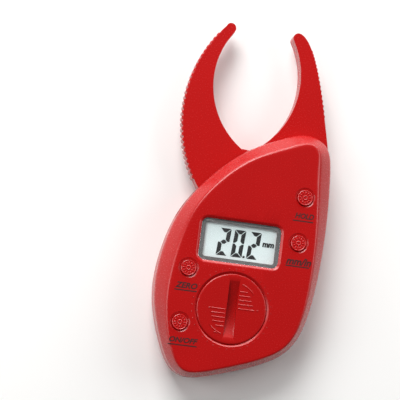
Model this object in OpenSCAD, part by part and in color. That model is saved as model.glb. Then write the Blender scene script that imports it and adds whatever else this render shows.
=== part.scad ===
// Digital skinfold caliper: two curved jaws between two plastic shells.
// The back face lies on Z = 0, the jaws' pivot is the Z axis, and the jaw tips point along +Y.
// +X is the side of the fixed jaw, and +Z comes out of the front face.

/* [Housing] */
// Thickness from the back face to the front face
body_t = 18; // [17.9:0.1:18.4]
// Thickness of the shells' walls
wall = 1.8; // [1.6:0.1:1.9]
// Height of the joint between the two shells
seam_z = 7; // [6.5:0.1:7.5]
// Height at which the front shell's sides start to slope in
bevel_z = 13.2; // [12.6:0.1:13.8]

/* [Jaws] */
// Gap between the jaw tips at rest, which is what the display reads
rest_gap = 20.2; // [19.8:0.1:20.6]
// Distance from the pivot to the tips' centres along Y
tip_y = 54; // [53.8:0.1:54.2]
// Radius of the rounded tips
tip_r = 1.8; // [1.7:0.05:1.9]
// Height of the jaws' back faces
jaw_z = 4; // [4:0.05:4.1]
// Thickness of both jaws
jaw_t = 6; // [5.8:0.1:6]
// Radius of the moving jaw's hub
hub_r = 12.8; // [12.4:0.1:13]
// Distance from rib to rib on the jaws' outer edges
rib_pitch = 1.9; // [1.6:0.1:2.4]
// Height of the ribs
rib_h = 0.45; // [0.2:0.05:0.6]

/* [Pivot] */
// Radius of the post that the moving jaw turns on
post_r = 3; // [2.8:0.1:3.2]
// Gap round the post
post_fit = 0.05; // [0.02:0.01:0.08]

/* [Display] */
// Width of the clear window
window_w = 27; // [26.6:0.1:27.4]
// Height of the clear window
window_h = 14.1; // [13.8:0.1:14.5]
// Width of the display's visible part
view_w = 24.1; // [23:0.1:24.6]
// Height of the display's visible part
view_h = 11.6; // [11:0.1:12]

/* [Buttons] */
// Radius of the round key caps
cap_r = 2.6; // [2.4:0.05:2.7]
// How far a key goes down
key_travel = 0.4; // [0.3:0.05:0.45]
// How far a key stands above the front face
key_proud = 0.4; // [0.2:0.1:0.8]

/* [Battery] */
// Radius of the battery cover
cover_r = 11.7; // [11.5:0.1:11.8]
// Radius of the coin cell
cell_r = 10; // [10:0.01:10.05]
// Thickness of the coin cell
cell_t = 3.2; // [3:0.1:3.25]
// Width of the coin slot in the cover
slot_w = 3.4; // [2.5:0.1:4]
// Length of the coin slot
slot_l = 19.4; // [16:0.1:20]
// Depth of the coin slot at its middle
slot_d = 2.2; // [1.6:0.1:2.4]

/* [Hidden] */
$fn = 64;
eps = 0.01;

// Control nodes of the housing's outline, anticlockwise: X, Y and the width of the bevel there.
body_nodes = [
    [31.5, -8, 4.5], [30.5, 9, 5.6], [29.5, 17.5, 5], [21, 22, 4.2],
    [10, 17, 4.2], [-2.5, 11, 3.4], [-17.5, -5.5, 3.2], [-23, -19, 4.6],
    [-26, -38, 4.6], [-22, -52, 2.4], [-17, -64, 2.2], [-10.5, -67.5, 2],
    [1, -64, 2], [17.5, -58.5, 2.2], [27, -50.5, 2.6], [30.5, -30, 3.2]];
outline_steps = 5;

// Places on the front face
window_at = [1.4, -19.9];
cover_at = [1.2, -42.1];
hold_at = [21.4, -1.9];
unit_at = [20.9, -17.4];
zero_at = [-14.8, -30.4];
power_at = [-15.4, -48.5];
key_places = [hold_at, unit_at, zero_at, power_at];
window_size = [window_w, window_h];
view_size = [view_w, view_h];
window_corner_r = 2.1;
view_corner_r = 0.8;

// Screw places
housing_screw_places = [[18.5, -48.5], [-10, -57.5], [-16.8, -22.8]];
shared_screw_at = [23.5, 10.5];
jaw_screw_places = [[17.5, 3.5], [25, -2.5]];
board_screw_places = [[25.5, -9.5], [-16.5, -14.5], [-17.2, -39]];
all_housing_screws = concat([shared_screw_at], housing_screw_places);

// Heights
jaw_top = jaw_z + jaw_t;
slot_gap = 0.3;
ceiling_z = body_t - wall;
board_z = jaw_top + 1;
board_t = 1;
board_top = board_z + board_t;
mask_z = body_t - 1.2;
mask_t = 0.1;
window_t = 0.6;
flange_z = ceiling_z - 1;
flange_t = 0.8;
stem_bottom = board_top + 2.2;
plunger_top = stem_bottom - key_travel - 0.05;
disc_z = body_t - 1.6;
disc_t = 1.5;
lip_z = disc_z - 1.2;
groove_z = lip_z - 1;
plug_z = groove_z + 0.15;
cell_z = groove_z - cell_t;
well_floor_z = cell_z - 1.1;
well_base_z = well_floor_z - 1.1;
washer_z = jaw_top + 0.45;

// Radii
well_r = 13.6;
groove_r = cover_r + 0.2;
tab_r = cover_r - 0.1;
plug_r = cover_r - 1.1;
dish_r = cap_r + 0.6;
cap_gap = 0.15;
flange_r = cap_r + 0.8;
boss_r = 2.8;
foot_r = 3.6;
shank_r = 1.2;
head_r = 2.4;
board_screw_r = 0.8;
washer_r = 4.6;
rotor_r = 6.7;
encoder_r = [5.4, 6.2];
screw_clear = 0.2;

// Moving jaw: arcs of its outer and inner edges, and the angles at which they start and end
outer_c = [24.6, 24.1];
outer_r = 47.24;
outer_a = [139.2, 224.4];
inner_c = [14.8, 36.3];
inner_r = 28.35;
inner_a = [246, 144.3];
rib_end_a = 213;

// Fixed jaw: arc of its inner edge and the cubic curve of its outer edge
fixed_c = [-13.4, 37.9];
fixed_r = 30;
fixed_a = [-51.5, 30.4];
fixed_curve = [[14.7, 55.7], [20.2, 53.9], [24.8, 35.5], [29.1, 15.6]];
fixed_ribs = [0.28, 0.8];
fixed_root = [[28.3, 13], [28.3, -6], [10, -6]];
root_clear_r = hub_r + 0.7;

// Ribs: steps along each one, and the share of rib_h that the fixed jaw's stand at
rib_steps = 6;
fixed_rib_n = 16;
fixed_rib_share = 0.7;

// Display stack: panel, wall of the frame round it, contact strip and reflector
lcd_size = [26.4, 14, 1.7];
lcd_wall = 0.7;
strip_size = [24, 1.8, 2.4];
reflector_size = [25.2, 10, 0.2];

// Lower end of the circuit board
board_end_y = -55;

tips_mid_x = 2.15;
moving_tip = [tips_mid_x - rest_gap / 2 - tip_r, tip_y];
fixed_tip = [tips_mid_x + rest_gap / 2 + tip_r, tip_y];

// Sector that the moving jaw needs in the shells' side walls
sweep_a = [68, 90, 120, 150, 180, 213];
sweep_r = 60;

function unit(v) = v / norm(v);
function polar(c, r, a) = c + r * [cos(a), sin(a)];
function arc(c, r, a0, a1, n) = [for (i = [0:n]) polar(c, r, a0 + (a1 - a0) * i / n)];

// Control nodes moved inwards by a share of the local bevel and by a fixed distance.
function inset_nodes(share, d) = [for (i = [0:len(body_nodes) - 1])
    let (n = len(body_nodes),
        p = body_nodes[i],
        before = body_nodes[(i + n - 1) % n],
        after = body_nodes[(i + 1) % n],
        along = unit([after.x - before.x, after.y - before.y]))
    [p.x, p.y] + (share * p.z + d) * [-along.y, along.x]];

// Closed cubic B-spline through the middle of a control polygon.
function spline(p) = [for (i = [0:len(p) - 1], k = [0:outline_steps - 1])
    let (n = len(p),
        t = k / outline_steps,
        a = p[i],
        b = p[(i + 1) % n],
        c = p[(i + 2) % n],
        d = p[(i + 3) % n])
    (pow(1 - t, 3) * a + (3 * pow(t, 3) - 6 * t * t + 4) * b
        + (-3 * pow(t, 3) + 3 * t * t + 3 * t + 1) * c + pow(t, 3) * d) / 6];

function cubic(p, t) = pow(1 - t, 3) * p[0] + 3 * t * pow(1 - t, 2) * p[1]
    + 3 * t * t * (1 - t) * p[2] + pow(t, 3) * p[3];
function cubic_normal(p, t) = let (v = unit(cubic(p, t + 0.01) - cubic(p, t - 0.01))) [-v.y, v.x];

module outline(share, d) { polygon(spline(inset_nodes(share, d))); }

// One thin slice of a housing: height, share of the bevel and inset.
module slice(z, share, d) { translate([0, 0, z]) linear_extrude(eps) outline(share, d); }

module front_outside() {
    hull() {
        slice(seam_z, 0, 0);
        slice(bevel_z - 1.2, 0, 0.05);
        slice(bevel_z, 0.06, 0.15);
        slice(bevel_z + 1, 0.22, 0.2);
        slice(body_t - 0.5, 0.9, 0);
        slice(body_t - eps, 1.05, 0.1);
    }
}

module front_inside() {
    hull() {
        slice(seam_z - eps, 0, wall);
        slice(bevel_z - 0.8, 0, wall);
        slice(ceiling_z - eps, 0.8, wall);
    }
}

module rear_outside() {
    hull() {
        slice(0, 0, 2);
        slice(0.5, 0, 1);
        slice(1.8, 0, 0.25);
        slice(3.4, 0, 0.05);
        slice(seam_z - eps, 0, 0);
    }
}

module rear_inside() {
    hull() {
        slice(wall, 0, wall + 0.8);
        slice(3.4, 0, wall + 0.05);
        slice(seam_z, 0, wall);
    }
}

module at(places, z) { for (p = places) translate([p.x, p.y, z]) children(); }

module rod(r, h) { cylinder(r = r, h = h); }

module rounded_plate(size, r, h) {
    linear_extrude(h) union() {
        square([size.x - 2 * r, size.y], center = true);
        square([size.x, size.y - 2 * r], center = true);
        for (x = [-1, 1], y = [-1, 1]) translate([x * (size.x / 2 - r), y * (size.y / 2 - r)]) circle(r);
    }
}

module moving_jaw_shape() {
    rib_n = outer_r * (rib_end_a - outer_a[0]) * PI / 180 / rib_pitch;
    outer_n = rib_steps * ceil(rib_n);
    outer = [for (i = [0:outer_n])
        let (a = outer_a[0] + (outer_a[1] - outer_a[0]) * i / outer_n,
            s = (a - outer_a[0]) / (rib_end_a - outer_a[0]),
            wave = s > 0.05 && s < 1 ? abs(sin(180 * rib_n * s)) - 0.5 : 0)
        polar(outer_c, outer_r + rib_h * wave, a)];
    inner = arc(inner_c, inner_r, inner_a[0], inner_a[1], 40);
    polygon(concat(outer, inner, arc(moving_tip, tip_r, -36, 137, 16)));
}

module fixed_jaw_shape() {
    outer_n = round(rib_steps * fixed_rib_n / (fixed_ribs[1] - fixed_ribs[0]));
    outer = [for (i = [0:outer_n])
        let (t = i / outer_n,
            s = (t - fixed_ribs[0]) / (fixed_ribs[1] - fixed_ribs[0]),
            wave = s > 0 && s < 1 ? abs(sin(180 * fixed_rib_n * s)) : 0)
        cubic(fixed_curve, t) + rib_h * fixed_rib_share * wave * cubic_normal(fixed_curve, t)];
    inner = arc(fixed_c, fixed_r, fixed_a[0], fixed_a[1], 36);
    polygon(concat(inner, arc(fixed_tip, tip_r, 210, 70, 16), outer, fixed_root));
}

// Room in the walls for the moving jaw's travel and for the fixed jaw.
module jaw_slots() {
    h = jaw_t + 2 * slot_gap;
    translate([0, 0, jaw_z - slot_gap]) linear_extrude(h)
        polygon(concat([[0, 0]], [for (a = sweep_a) polar([0, 0], sweep_r, a)]));
    translate([0, 0, jaw_z - 0.05]) linear_extrude(jaw_t + 0.1) offset(delta = 0.1) fixed_jaw_shape();
}

module rear_housing() {
    color("firebrick") difference() {
        rear_outside();
        difference() {
            rear_inside();
            rod(6.5, jaw_z - 0.6);
            at(housing_screw_places, 0) rod(foot_r, seam_z + 1);
            at(concat([shared_screw_at], jaw_screw_places), 0) rod(foot_r, jaw_z);
        }
        jaw_slots();
        at(all_housing_screws, -eps) rod(head_r + 0.3, 2.2 + eps);
        at(all_housing_screws, 0) rod(shank_r + screw_clear, seam_z + 1);
        at(jaw_screw_places, 2.2) rod(shank_r, seam_z);
    }
    // The pivot post stands on through the joint into the front half.
    color("firebrick") difference() {
        translate([0, 0, wall - 0.5]) rod(post_r, washer_z - wall + 0.5);
        translate([0, 0, 4.5]) rod(shank_r, washer_z);
    }
}

module front_bosses() {
    at(housing_screw_places, seam_z) rod(boss_r, body_t);
    at([shared_screw_at], jaw_top) rod(boss_r, body_t);
    at(board_screw_places, board_top) rod(2.2, body_t);
    translate([cover_at.x, cover_at.y, well_base_z]) rod(well_r, body_t);
}

module battery_well_bores() {
    translate([cover_at.x, cover_at.y, 0]) {
        translate([0, 0, well_floor_z]) rod(cell_r + 0.3, body_t);
        translate([0, 0, groove_z]) rod(groove_r, 1);
        translate([0, 0, lip_z - eps]) rod(plug_r + 0.15, body_t);
        translate([0, 0, disc_z - 0.1]) rod(groove_r, body_t);
        translate([0, 0, body_t - 0.6]) cylinder(r1 = groove_r, r2 = groove_r + 0.7, h = 0.6 + eps);
        // Two gaps in the lip let the cover's tabs in.
        translate([0, 0, groove_z]) linear_extrude(2) cover_tabs(groove_r, 34, 60);
        // Slots for the two contacts
        translate([-well_r - 1, -2.2, board_top - 0.1]) cube([5, 4.4, 2.2]);
        translate([-2.2, 8, well_floor_z]) cube([4.4, 7, 0.4]);
    }
}

module cover_tabs(r, width, turn) {
    for (a = [turn, turn + 180]) intersection() {
        circle(r);
        polygon([[0, 0], polar([0, 0], 2 * r, a - width / 2), polar([0, 0], 2 * r, a + width / 2)]);
    }
}

module front_housing() {
    color("red") difference() {
        front_outside();
        difference() {
            front_inside();
            front_bosses();
        }
        jaw_slots();
        battery_well_bores();
        translate([window_at.x, window_at.y, 0]) {
            translate([0, 0, ceiling_z - eps]) rounded_plate(view_size + [1, 1], 1, body_t);
            translate([0, 0, mask_z]) rounded_plate(window_size + [0.1, 0.1], window_corner_r, body_t);
            translate([0, 0, body_t - 0.4])
                rounded_plate(window_size + [1, 1], window_corner_r + 0.4, body_t);
        }
        at(key_places, flange_z - 0.2) rod(flange_r + 0.2, ceiling_z - flange_z + 0.2);
        at(key_places, flange_z) rod(cap_r + cap_gap, body_t);
        at(key_places, body_t - 0.6) cylinder(r1 = cap_r + cap_gap, r2 = dish_r, h = 0.6 + eps);
        at(all_housing_screws, seam_z - eps) rod(shank_r, body_t - 3 - seam_z);
        at(board_screw_places, board_top - eps) rod(board_screw_r, 3);
    }
    // A ring of small pips round the battery cover marks its turns.
    color("red") for (a = [0:10:350]) translate([cover_at.x, cover_at.y, body_t - 0.05])
        translate(concat(polar([0, 0], groove_r + 1.2, a), 0)) rod(0.18, 0.15);
}

module fixed_jaw() {
    color("crimson") difference() {
        translate([0, 0, jaw_z]) linear_extrude(jaw_t) difference() {
            fixed_jaw_shape();
            circle(root_clear_r);
        }
        at(concat([shared_screw_at], jaw_screw_places), 0) rod(shank_r + screw_clear, body_t);
        at(jaw_screw_places, jaw_top - 1.2)
            cylinder(r1 = shank_r + screw_clear, r2 = head_r + 0.1, h = 1.2 + eps);
    }
}

module moving_jaw() {
    color("crimson") difference() {
        union() {
            translate([0, 0, jaw_z]) linear_extrude(jaw_t) union() {
                moving_jaw_shape();
                circle(hub_r);
            }
            rod(post_r + 1.6, jaw_top + 0.42);
        }
        translate([0, 0, -eps]) rod(post_r + post_fit, body_t);
        translate([0, 0, -eps]) rod(post_r + 2, jaw_z + eps);
    }
}

module wave_washer() {
    color("silver") translate([0, 0, jaw_z - 0.45]) {
        difference() {
            rod(6.2, 0.25);
            translate([0, 0, -eps]) rod(post_r + 0.3, 1);
        }
        for (a = [0:120:240]) {
            rotate(a) translate([3.5, -0.6, 0.25]) cube([2.5, 1.2, 0.17]);
            rotate(a + 60) translate([3.5, -0.6, -0.15]) cube([2.5, 1.2, 0.15]);
        }
    }
}

module pivot_washer() {
    color("silver") difference() {
        translate([0, 0, washer_z]) rod(washer_r, 0.5);
        rod(shank_r + 0.15, body_t);
    }
}

// Pan-head screw with a cross slot, its shank pointing down.
module screw(head, head_h, shank, length) {
    difference() {
        union() {
            rod(head, head_h);
            translate([0, 0, -length]) rod(shank, length);
        }
        for (a = [0, 90]) rotate(a) translate([-head * 0.6, -0.25, head_h - 0.6]) cube([head * 1.2, 0.5, 1]);
    }
}

module pivot_screw() {
    color("gainsboro") translate([0, 0, washer_z + 0.5]) screw(head_r, 1.3, shank_r, 6);
}

module rotor_plate() {
    color("goldenrod") translate([0, 0, jaw_top]) linear_extrude(0.4) difference() {
        circle(rotor_r);
        circle(post_r + 1.8);
        for (a = [0:30:330]) rotate(a) translate([encoder_r[0], -0.8])
            square([encoder_r[1] - encoder_r[0], 1.6]);
    }
}

module circuit_board() {
    color("darkgreen") translate([0, 0, board_z]) linear_extrude(board_t) difference() {
        outline(0, wall + 0.6);
        translate([cover_at.x - well_r - 0.4, -100]) square([60, 100 + cover_at.y + well_r + 1]);
        translate([-40, board_end_y - 40]) square([80, 40]);
        translate(cover_at) circle(well_r + 0.4);
        circle(washer_r + 0.6);
        for (p = all_housing_screws) translate(p) circle(boss_r + 0.4);
        for (p = board_screw_places) translate(p) circle(board_screw_r + 0.1);
    }
}

module stator_pads() {
    color("orange") translate([0, 0, board_z - 0.1]) linear_extrude(0.1) for (a = [0:15:345]) {
        intersection() {
            difference() {
                circle(encoder_r[1]);
                circle(encoder_r[0]);
            }
            polygon([[0, 0], polar([0, 0], 12, a), polar([0, 0], 12, a + 12)]);
        }
    }
}

module controller_chip() {
    color("black") translate([12.5, -6, board_top]) {
        rod(3, 0.6);
        translate([0, 0, 0.6]) cylinder(r1 = 3, r2 = 2, h = 0.5);
    }
}

module timing_crystal() {
    color("silver") translate([-9.5, -8.5, board_top + 1.05]) rotate([0, 90, 0]) rod(1, 6);
}

module board_components() {
    color("tan") {
        for (i = [0:4]) translate([6 + 2.4 * i, 4.2, board_top]) cube([1.2, 2, 0.7]);
        for (i = [0:2]) translate([-11 + 2.6 * i, -3.5, board_top]) cube([1.4, 0.8, 0.5]);
        translate([-20.2, -34.5, board_top]) cube([3.2, 1.6, 1]);
    }
}

// Block of a given width, height and thickness, centred under the window.
module window_block(size, z, t) {
    translate([window_at.x - size.x / 2, window_at.y - size.y / 2, z]) cube([size.x, size.y, t]);
}

module lcd_frame() {
    panel = [lcd_size.x, lcd_size.y];
    color("whitesmoke") difference() {
        window_block([for (w = panel) w + 2 * lcd_wall], board_top, ceiling_z - board_top - 0.1);
        window_block([for (w = panel) w + 0.2], board_top - 1, body_t);
    }
}

module lcd_panel() {
    color("lightgray") window_block(lcd_size, board_top + strip_size.z, lcd_size.z);
}

module lcd_reflector() {
    color("white")
        window_block(reflector_size, board_top + strip_size.z - reflector_size.z, reflector_size.z);
}

module zebra_strips() {
    color("hotpink") for (side = [-1, 1])
        translate([0, side * (lcd_size.y - strip_size.y) / 2, 0])
            window_block(strip_size, board_top, strip_size.z);
}

module window_mask() {
    color("gray") translate([window_at.x, window_at.y, mask_z]) difference() {
        rounded_plate(window_size, window_corner_r, mask_t);
        translate([0, 0, -eps]) rounded_plate(view_size, view_corner_r, 1);
    }
}

module display_window() {
    color("lightcyan", 0.4) translate([window_at.x, window_at.y, mask_z + mask_t])
        rounded_plate(window_size, window_corner_r, window_t);
}

module key_switches() {
    color("dimgray") at(key_places, board_top) {
        translate([-2.25, -2.25, 0]) cube([4.5, 4.5, 1.2]);
        rod(1, plunger_top - board_top);
    }
}

// Round key cap with a ring of pips and a small ring in its middle.
module key_cap(place) {
    top = body_t + key_proud;
    color("tomato") translate([place.x, place.y, 0]) {
        translate([0, 0, flange_z]) rod(flange_r, flange_t);
        translate([0, 0, flange_z]) rod(cap_r, top - 0.2 - flange_z);
        translate([0, 0, top - 0.2]) cylinder(r1 = cap_r, r2 = cap_r - 0.3, h = 0.2);
        translate([0, 0, stem_bottom]) rod(1.2, flange_z - stem_bottom + 0.1);
        for (a = [0:30:330]) rotate(a) translate([1.75, 0, top - 0.1]) rod(0.22, 0.25);
        translate([0, 0, top - 0.1]) difference() {
            rod(0.85, 0.25);
            rod(0.5, 1);
        }
    }
}

module hold_button() { key_cap(hold_at); }

module unit_button() { key_cap(unit_at); }

module zero_button() { key_cap(zero_at); }

module power_button() { key_cap(power_at); }

module battery_cover() {
    floor_r = (pow(slot_l / 2, 2) + pow(slot_d, 2)) / (2 * slot_d);
    top = disc_z + disc_t;
    color("orangered") translate([cover_at.x, cover_at.y, 0]) {
        difference() {
            union() {
                translate([0, 0, disc_z]) rod(cover_r, disc_t - 0.25);
                translate([0, 0, top - 0.25]) cylinder(r1 = cover_r, r2 = cover_r - 0.25, h = 0.25);
                translate([0, 0, plug_z]) rod(plug_r, disc_z - plug_z + 0.1);
                translate([0, 0, plug_z]) linear_extrude(0.75) cover_tabs(tab_r, 30, 0);
            }
            translate([-slot_w / 2, 0, top - slot_d + floor_r]) rotate([0, 90, 0]) rod(floor_r, slot_w);
        }
        for (turn = [0, 180], i = [0:4]) rotate(turn)
            translate([2.2, 0.3 + 1.45 * i, top - 0.1]) cube([5.4 - 0.45 * i, 0.35, 0.25]);
        translate([8.9, 0.4, top - 0.1]) rod(0.3, 0.3);
    }
}

module coin_cell() {
    color("silver") translate([cover_at.x, cover_at.y, cell_z]) {
        rod(cell_r - 1.1, 0.4);
        translate([0, 0, 0.4]) rod(cell_r, cell_t - 0.4);
    }
}

module battery_contact_positive() {
    color("gold") translate([cover_at.x, cover_at.y - 2, board_top]) {
        translate([-15.5, 0, 0]) cube([5.5 - 0.05, 4, 0.25]);
        translate([-10.25, 0, 0]) cube([0.2, 4, 1.6]);
    }
}

module battery_contact_negative() {
    sheet = 0.2;
    low = well_floor_z;
    riser = 15.2;
    color("gold") translate([cover_at.x - 2, cover_at.y, 0]) rotate([90, 0, 90]) linear_extrude(4) polygon([
        [9, low], [riser + sheet, low], [riser + sheet, board_z - sheet], [riser + 1.8, board_z - sheet],
        [riser + 1.8, board_z], [riser, board_z], [riser, low + sheet], [9, low + sheet],
        [1, cell_z - 0.02], [-2, cell_z - 0.02], [-2, cell_z - sheet], [0.8, cell_z - sheet]]);
}

module housing_screws() {
    color("gray") at(all_housing_screws, 2.2)
        mirror([0, 0, 1]) screw(head_r, 1.5, shank_r, 11.5);
}

module jaw_screws() {
    color("gray") at(jaw_screw_places, jaw_top - 1.1) difference() {
        union() {
            cylinder(r1 = shank_r, r2 = head_r, h = 1.05);
            translate([0, 0, -6.2]) rod(shank_r, 6.2);
        }
        for (a = [0, 90]) rotate(a) translate([-1.4, -0.25, 0.5]) cube([2.8, 0.5, 1]);
    }
}

module board_screws() {
    color("gray") at(board_screw_places, board_z) mirror([0, 0, 1]) screw(1.6, 0.8, board_screw_r, 3.5);
}

rear_housing();
front_housing();
fixed_jaw();
moving_jaw();
wave_washer();
pivot_washer();
pivot_screw();
rotor_plate();
circuit_board();
stator_pads();
controller_chip();
timing_crystal();
board_components();
lcd_frame();
lcd_panel();
lcd_reflector();
zebra_strips();
window_mask();
display_window();
key_switches();
hold_button();
unit_button();
zero_button();
power_button();
battery_cover();
coin_cell();
battery_contact_positive();
battery_contact_negative();
housing_screws();
jaw_screws();
board_screws();
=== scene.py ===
"""Digital skinfold caliper: two jaws between two moulded shells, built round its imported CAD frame."""

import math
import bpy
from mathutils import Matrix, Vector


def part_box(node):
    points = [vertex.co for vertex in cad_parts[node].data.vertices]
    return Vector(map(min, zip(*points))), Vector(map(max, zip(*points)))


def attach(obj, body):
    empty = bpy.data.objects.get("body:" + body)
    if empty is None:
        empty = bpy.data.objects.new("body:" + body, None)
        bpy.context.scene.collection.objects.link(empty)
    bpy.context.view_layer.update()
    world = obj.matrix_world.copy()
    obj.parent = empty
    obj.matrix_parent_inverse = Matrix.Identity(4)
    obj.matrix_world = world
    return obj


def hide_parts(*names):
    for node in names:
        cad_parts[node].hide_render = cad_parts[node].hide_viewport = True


bl_info = {
    "name": "Digital Skinfold Caliper",
    "version": (1, 0, 0),
    "blender": (4, 5, 0),
    "location": "View3D > Sidebar > Caliper",
    "description": "Builds a digital skinfold caliper round its packed CAD frame",
    "category": "Object",
}

import bmesh
import bpy
from bpy.props import FloatProperty, FloatVectorProperty, IntProperty, PointerProperty, StringProperty
from mathutils import Matrix, Vector

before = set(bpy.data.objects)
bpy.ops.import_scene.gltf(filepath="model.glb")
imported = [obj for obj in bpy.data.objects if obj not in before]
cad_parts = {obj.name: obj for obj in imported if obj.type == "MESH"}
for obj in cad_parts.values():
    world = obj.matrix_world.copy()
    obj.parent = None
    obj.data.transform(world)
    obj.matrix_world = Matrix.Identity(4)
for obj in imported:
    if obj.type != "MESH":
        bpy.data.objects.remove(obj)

# Shapes are modelled in millimetres and made metres when a piece is finished.
MM = 0.001
# Points of one solid that lie this close together, in millimetres, are one point.
WELD = 0.0005


def linear(code):
    """The linear RGBA colour of an sRGB hex code such as "#B01210"."""
    parts = [int(code[i : i + 2], 16) / 255 for i in (1, 3, 5)]
    return [c / 12.92 if c <= 0.04045 else ((c + 0.055) / 1.055) ** 2.4 for c in parts] + [1.0]


def millimetres(node):
    """Centre, lowest and highest corners of a CAD node in millimetres."""
    low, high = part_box(node)
    return (low + high) / 2 / MM, low / MM, high / MM


# ---------------------------------------------------------------- settings


def length(name, text, millimetre_value):
    """A length property whose default is given in millimetres."""
    return FloatProperty(name=name, description=text, default=millimetre_value * MM, min=0.0, unit="LENGTH")


def colour(name, text, code):
    """A colour property whose default is an sRGB hex code."""
    return FloatVectorProperty(
        name=name, description=text, default=linear(code)[:3], min=0.0, max=1.0, subtype="COLOR"
    )


def angle(name, text, degrees):
    """An angle property whose default is given in degrees."""
    return FloatProperty(name=name, description=text, default=math.radians(degrees), subtype="ANGLE")


def wattage(name, text, watts):
    """A power property in watts."""
    return FloatProperty(name=name, description=text, default=watts, unit="POWER")


class ShellSettings(bpy.types.PropertyGroup):
    """The two moulded shells."""

    wall: length("Wall", "Thickness of the shells' walls", 1.8)
    seam: length("Seam", "Height of the joint between the shells", 7.0)
    shoulder: length("Shoulder", "Height at which the front shell starts to slope in", 13.2)
    seam_round: length("Seam Rounding", "Rounding of the shells' edges at the joint", 0.25)
    red: colour("Shell Red", "Colour of the shells", "#AE0A0A")


class JawSettings(bpy.types.PropertyGroup):
    """The fixed and the moving jaw."""

    hub_radius: length("Hub Radius", "Radius of the moving jaw's hub", 12.8)
    edge_round: length("Edge Rounding", "Rounding of the jaws' front and back edges", 0.45)
    rib_pitch: length("Rib Pitch", "Distance from rib to rib on the outer edges", 1.9)
    rib_height: length("Rib Height", "How far a rib stands out", 0.45)
    red: colour("Jaw Red", "Colour of the jaws", "#B10A09")


class KeySettings(bpy.types.PropertyGroup):
    """The four round keys."""

    radius: length("Cap Radius", "Radius of a key cap", 2.6)
    petals: IntProperty(name="Petals", description="Raised petals on a key cap", default=12, min=3)
    petal_circle: length("Petal Circle", "Radius of the circle on which the petals lie", 1.65)
    red: colour("Key Red", "Colour of the keys", "#B60D0E")


class CoverSettings(bpy.types.PropertyGroup):
    """The battery cover."""

    slot_width: length("Slot Width", "Width of the coin slot", 3.4)
    slot_length: length("Slot Length", "Length of the coin slot", 19)
    slot_depth: length("Slot Depth", "Depth of the coin slot at its middle", 2.2)
    line_pitch: length("Line Pitch", "Distance between the raised lines", 1.42)
    red: colour("Cover Red", "Colour of the battery cover", "#AA0908")


class DisplaySettings(bpy.types.PropertyGroup):
    """The display and the printed legends."""

    reading: StringProperty(
        name="Reading", description="Number on the display, with a tenth after the point", default="20.2"
    )
    digit_height: length("Digit Height", "Height of a digit", 9.2)
    digit_width: length("Digit Width", "Width of a digit", 3.8)
    stroke: length("Stroke", "Width of a segment", 1.4)
    slant: angle("Slant", "Slant of the digits", 4)
    ink: colour("Legend Ink", "Colour of the printed legends", "#380306")


class StageSettings(bpy.types.PropertyGroup):
    """Camera, floor and lights."""

    view_width: length("View Width", "Width that the camera sees at the object", 136.6)
    distance: length("Distance", "Distance from the camera to the object", 450.0)
    tilt_x: angle("Tilt X", "Lean of the camera to the left", 6.5)
    tilt_y: angle("Tilt Y", "Lean of the camera down the handle", 6.5)
    roll: angle("Roll", "Turn of the camera about its own axis", 7.3)
    main_power: wattage("Main Lights", "Power of the three high lights together", 12.5)
    strip_power: wattage("Strip Lights", "Power that each strip light's factor is applied to", 4.4)


# ---------------------------------------------------------------- mesh tools


def holder(bm, name="working"):
    """An object that holds a copy of bm, for a modifier to work on."""
    mesh = bpy.data.meshes.new(name)
    bm.to_mesh(mesh)
    bm.free()
    obj = bpy.data.objects.new(name, mesh)
    bpy.context.scene.collection.objects.link(obj)
    return obj


def worked(obj):
    """The bmesh of obj with its modifiers applied. The object goes."""
    graph = bpy.context.evaluated_depsgraph_get()
    mesh = bpy.data.meshes.new_from_object(obj.evaluated_get(graph))
    bm = bmesh.new()
    bm.from_mesh(mesh)
    bpy.data.meshes.remove(mesh)
    bpy.data.meshes.remove(obj.data)
    return bm


def subdivided(bm, levels=3):
    """bm after Catmull-Clark subdivision, which keeps its creases."""
    obj = holder(bm)
    smooth = obj.modifiers.new("Smooth", "SUBSURF")
    smooth.levels = smooth.render_levels = levels
    return worked(obj)


def combined(bm, tool, operation="DIFFERENCE"):
    """bm with tool cut from it or joined to it."""
    obj, other = holder(bm), holder(tool, "tool")
    other.hide_render = True
    change = obj.modifiers.new("Change", "BOOLEAN")
    change.operation, change.solver, change.object = operation, "EXACT", other
    result = worked(obj)
    bpy.data.meshes.remove(other.data)
    if not result.faces:
        raise RuntimeError("a boolean left nothing of a piece")
    bmesh.ops.remove_doubles(result, verts=result.verts, dist=WELD)
    bmesh.ops.dissolve_degenerate(result, edges=result.edges, dist=WELD)
    return result


def joined(*parts):
    """One bmesh that holds all the parts, which don't overlap."""
    whole = bmesh.new()
    for part in parts:
        mesh = bpy.data.meshes.new("part")
        part.to_mesh(mesh)
        part.free()
        whole.from_mesh(mesh)
        bpy.data.meshes.remove(mesh)
    return whole


def loft(rings, crease=()):
    """A closed solid through rings of points, each extruded from the last.

    The rings numbered in crease stay sharp when the solid is subdivided."""
    bm = bmesh.new()
    sharp = bm.edges.layers.float.new("crease_edge")
    verts = [bm.verts.new(p) for p in rings[0]]
    count = len(verts)

    def ring_edges(ring, number):
        pairs = [(ring[i], ring[i - 1]) for i in range(count)]
        found = [bm.edges.get(pair) or bm.edges.new(pair) for pair in pairs]
        for edge in found:
            edge[sharp] = float(number in crease)
        return found

    edges = first = ring_edges(verts, 0)
    for number, ring in enumerate(rings[1:], 1):
        made = set(bmesh.ops.extrude_edge_only(bm, edges=edges)["geom"])
        verts = [next(e.other_vert(v) for e in v.link_edges if e.other_vert(v) in made) for v in verts]
        for vert, point in zip(verts, ring):
            vert.co = point
        edges = ring_edges(verts, number)
    for end in (first, edges):
        bmesh.ops.contextual_create(bm, geom=end)
    bmesh.ops.recalc_face_normals(bm, faces=bm.faces)
    return bm


def prism(outline, low, high):
    """The outline's points raised from one height to another."""
    return loft([[(x, y, z) for x, y in outline] for z in (low, high)])


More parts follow.
